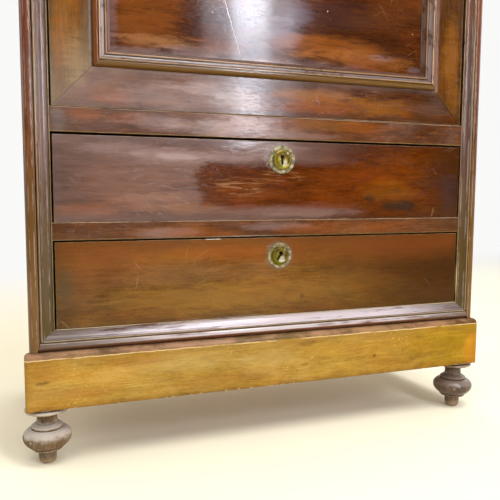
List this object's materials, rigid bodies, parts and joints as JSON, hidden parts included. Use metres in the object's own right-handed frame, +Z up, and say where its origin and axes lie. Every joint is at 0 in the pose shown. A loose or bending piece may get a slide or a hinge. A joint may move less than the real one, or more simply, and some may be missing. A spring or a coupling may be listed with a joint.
{
  "type": "bonnetiere cabinet",
  "caption": "Tall narrow wooden cupboard: a panelled door above drawers, moulded front frame, cornice, plinth and turned feet.",
  "frame": {"origin": "centre of the outline on the floor, under the feet", "axes": "+Z up, front with the door and drawers faces -Y, +X to the right seen from the front"},
  "size_m": [0.932, 0.4836, 1.9453],
  "materials": {
    "mahogany": "worn french polish",
    "panel_veneer": "polished, horizontal grain",
    "plinth_wood": "worn wax polish, lighter",
    "foot_wood": "dusty, worn polish",
    "secondary_wood": "unfinished softwood",
    "drawer_wood": "unfinished hardwood",
    "brass": "worn, tarnished",
    "iron": "dull, darkened"
  },
  "bodies": {
    "carcass": {"stile_left": "mahogany", "stile_right": "mahogany", "base_moulding": "mahogany", "top_moulding": "mahogany", "side_panel_left": "mahogany", "side_panel_right": "mahogany", "bottom_board": "secondary_wood", "cupboard_floor": "secondary_wood", "shelf_lower": "secondary_wood", "shelf_upper": "secondary_wood", "top_board": "secondary_wood", "back_panel": "secondary_wood", "rail_between_drawers": "mahogany", "rail_under_door": "mahogany", "runner_lower_left": "drawer_wood", "runner_lower_right": "drawer_wood", "runner_upper_left": "drawer_wood", "runner_upper_right": "drawer_wood", "plinth_front": "plinth_wood", "plinth_side_left": "plinth_wood", "plinth_side_right": "plinth_wood", "bearer_left": "secondary_wood", "bearer_right": "secondary_wood", "foot_front_left": "foot_wood", "foot_front_right": "foot_wood", "foot_back_left": "foot_wood", "foot_back_right": "foot_wood", "cornice_front": "mahogany", "cornice_left": "mahogany", "cornice_right": "mahogany", "pivot_lower": "iron", "pivot_upper": "iron"},
    "door": {"door_stile_left": "mahogany", "door_stile_right": "mahogany", "door_rail_bottom": "mahogany", "door_rail_top": "mahogany", "door_panel": "panel_veneer", "door_moulding_left": "mahogany", "door_moulding_right": "mahogany", "door_moulding_bottom": "mahogany", "door_moulding_top": "mahogany", "door_lock_case": "iron", "door_escutcheon": "brass"},
    "door_bolt": {"door_lock_bolt": "brass"},
    "drawer_lower": {"drawer_lower_front": "mahogany", "drawer_lower_side_left": "drawer_wood", "drawer_lower_side_right": "drawer_wood", "drawer_lower_bottom": "drawer_wood", "drawer_lower_back": "drawer_wood", "drawer_lower_lock_case": "iron", "drawer_lower_escutcheon": "brass"},
    "drawer_lower_bolt": {"drawer_lower_lock_bolt": "brass"},
    "drawer_upper": {"drawer_upper_front": "mahogany", "drawer_upper_side_left": "drawer_wood", "drawer_upper_side_right": "drawer_wood", "drawer_upper_bottom": "drawer_wood", "drawer_upper_back": "drawer_wood", "drawer_upper_lock_case": "iron", "drawer_upper_escutcheon": "brass"},
    "drawer_upper_bolt": {"drawer_upper_lock_bolt": "brass"}
  },
  "joints": [
    {"name": "door_hinge", "type": "hinge", "parent": "carcass", "child": "door", "pos_m": [0.365, -0.18325, 1.195], "axis": [0, 0, 1], "range_deg": [0, 105]},
    {"name": "door_bolt_slide", "type": "slide", "parent": "door", "child": "door_bolt", "axis": [-1, 0, 0], "range_m": [0, 0.01]},
    {"name": "drawer_lower_slide", "type": "slide", "parent": "carcass", "child": "drawer_lower", "axis": [0, -1, 0], "range_m": [0, 0.3]},
    {"name": "drawer_lower_bolt_slide", "type": "slide", "parent": "drawer_lower", "child": "drawer_lower_bolt", "axis": [0, 0, 1], "range_m": [0, 0.01]},
    {"name": "drawer_upper_slide", "type": "slide", "parent": "carcass", "child": "drawer_upper", "axis": [0, -1, 0], "range_m": [0, 0.3]},
    {"name": "drawer_upper_bolt_slide", "type": "slide", "parent": "drawer_upper", "child": "drawer_upper_bolt", "axis": [0, 0, 1], "range_m": [0, 0.01]}
  ]
}
